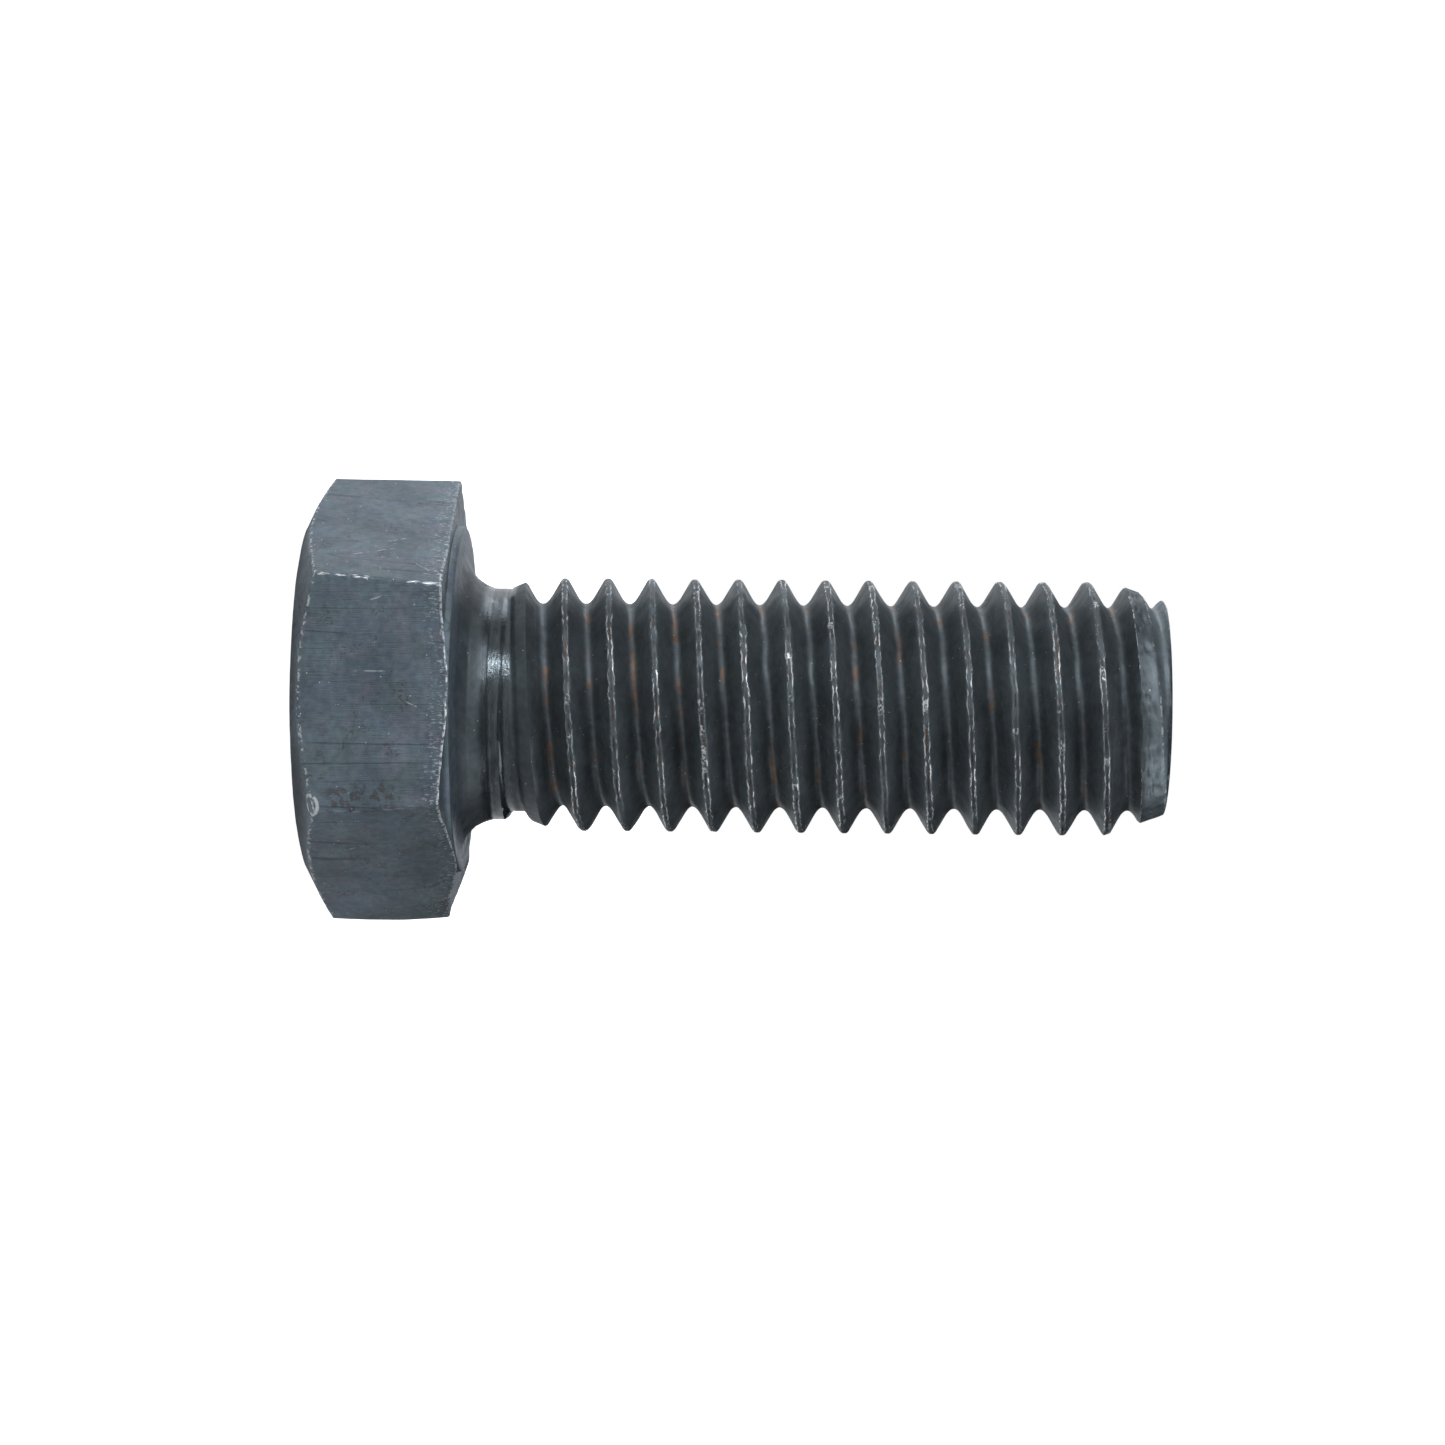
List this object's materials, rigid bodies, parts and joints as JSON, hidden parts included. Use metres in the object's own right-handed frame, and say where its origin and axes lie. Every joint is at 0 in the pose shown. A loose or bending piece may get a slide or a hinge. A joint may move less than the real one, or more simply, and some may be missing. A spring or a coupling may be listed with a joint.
{
  "type": "hex bolt",
  "caption": "Hex head bolt threaded to the head, with a washer face under the head and a right-hand coarse thread, for fastening through a clearance hole or into a tapped one.",
  "frame": {"origin": "centre of the flat top of the head, which the bolt stands on", "axes": "+Z along the bolt's axis from the head to the tip, with two corners of the hexagon on the X axis"},
  "size_m": [0.0162, 0.014, 0.0312],
  "materials": {
    "black_oxide_steel": "dark blue-grey black-oxide finish, lightly oiled, with bright wear on edges and thread crests"
  },
  "bodies": {
    "root": {"hex_bolt": "black_oxide_steel"}
  },
  "joints": []
}
